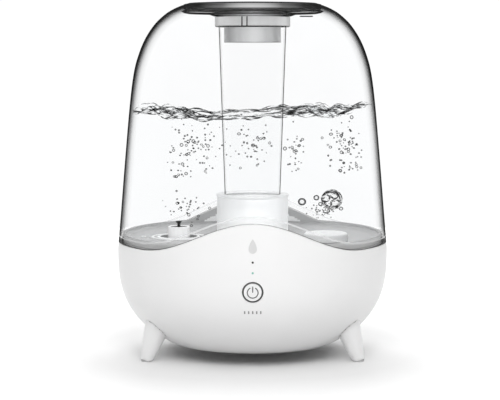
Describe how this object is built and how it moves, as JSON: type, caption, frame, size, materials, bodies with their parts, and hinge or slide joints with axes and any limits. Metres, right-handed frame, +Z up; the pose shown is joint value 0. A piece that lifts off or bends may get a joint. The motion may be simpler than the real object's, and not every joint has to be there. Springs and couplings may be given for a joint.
{
  "type": "cool mist humidifier",
  "caption": "Cool mist humidifier with a clear domed water tank and mist tube on a white bowl-shaped base with splayed legs.",
  "frame": {"origin": "centre of the bowl, on the surface the three feet stand on", "axes": "+Z up along the mist tube; the front with the power button faces -Y; +X is to the right seen from the front"},
  "size_m": [0.2376, 0.2376, 0.3066],
  "materials": {
    "white_gloss": "white, satin gloss",
    "white_satin": "white, satin",
    "clear_tank": "clear, polished",
    "frosted": "milky, translucent",
    "smoke": "smoky grey, see-through",
    "grey_plastic": "mid grey",
    "black_plastic": "black",
    "status_green": "green lens, lit",
    "led_body": "white lens",
    "silicone": "translucent grey silicone",
    "circuit_board": "green circuit board",
    "heat_sink": "extruded",
    "brass": "ceramic disc on a metal electrode",
    "magnet": "dark grey magnet",
    "steel": "stainless",
    "water": "clear water"
  },
  "bodies": {
    "base": {"base_bowl": "white_gloss", "badge": "grey_plastic", "bottom_cover": "white_satin", "cover_screw_1": "steel", "cover_screw_2": "steel", "cover_screw_3": "steel", "leg_left": "white_gloss", "leg_right": "white_gloss", "leg_rear": "white_gloss", "leg_screw_left": "steel", "leg_screw_right": "steel", "leg_screw_rear": "steel", "foot_pad_left": "silicone", "foot_pad_right": "silicone", "foot_pad_rear": "silicone", "basin_tray": "white_satin", "valve_post": "white_satin", "transducer_seal": "silicone", "transducer_disc": "brass", "transducer_ring": "steel", "air_duct": "white_satin", "fan_frame": "black_plastic", "main_board": "circuit_board", "heat_sink": "heat_sink", "power_inlet": "black_plastic", "power_inlet_pin": "steel", "button_bezel": "grey_plastic", "water_light_pipe": "black_plastic", "status_light_pipe": "status_green", "panel_board": "circuit_board", "button_switch": "black_plastic", "water_led": "led_body", "status_led": "led_body", "float_stop": "grey_plastic", "float_sensor": "black_plastic"},
    "button": {"power_button": "white_gloss"},
    "fan": {"fan_rotor": "black_plastic"},
    "float": {"float_ring": "white_satin", "float_magnet": "magnet"},
    "tank": {"tank_shell": "clear_tank", "tank_bottom": "clear_tank", "mist_chamber": "frosted", "mist_tube": "clear_tank", "tube_collar": "smoke", "tube_top_seal": "silicone", "tube_bottom_seal": "silicone", "float_cover": "white_satin"},
    "cap": {"fill_cap": "white_satin", "fill_cap_seal": "silicone", "valve_cage": "white_satin", "valve_spring": "steel"},
    "valve": {"valve_stem": "grey_plastic", "valve_seal": "silicone"},
    "nozzle": {"nozzle_dish": "smoke"},
    "nozzle_turner": {"nozzle_disc": "smoke"}
  },
  "joints": [
    {"name": "tank_lift", "type": "slide", "parent": "base", "child": "tank", "axis": [0, 0, 1], "range_m": [0, 0.06]},
    {"name": "nozzle_lift", "type": "slide", "parent": "tank", "child": "nozzle", "axis": [0, 0, 1], "range_m": [0, 0.035]},
    {"name": "nozzle_turn", "type": "hinge", "parent": "nozzle", "child": "nozzle_turner", "pos_m": [0, 0, 0.304], "axis": [0, 0, 1], "continuous": true},
    {"name": "cap_turn", "type": "hinge", "parent": "tank", "child": "cap", "pos_m": [-0.0646, -0.013, 0.092], "axis": [0, 0, 1], "range_deg": [0, 60]},
    {"name": "valve_slide", "type": "slide", "parent": "cap", "child": "valve", "axis": [0, 0, 1], "range_m": [0, 0.0015], "stiffness_N_per_m": 120, "springref_m": -0.004, "deforming": ["valve_spring"]},
    {"name": "float_rise", "type": "slide", "parent": "base", "child": "float", "axis": [0, 0, 1], "range_m": [0, 0.008]},
    {"name": "fan_spin", "type": "hinge", "parent": "base", "child": "fan", "pos_m": [0.023, 0, 0.0437], "axis": [0, 0, 1], "continuous": true},
    {"name": "button_press", "type": "slide", "parent": "base", "child": "button", "axis": [0, 1, 0], "range_m": [0, 0.0008], "stiffness_N_per_m": 500}
  ]
}
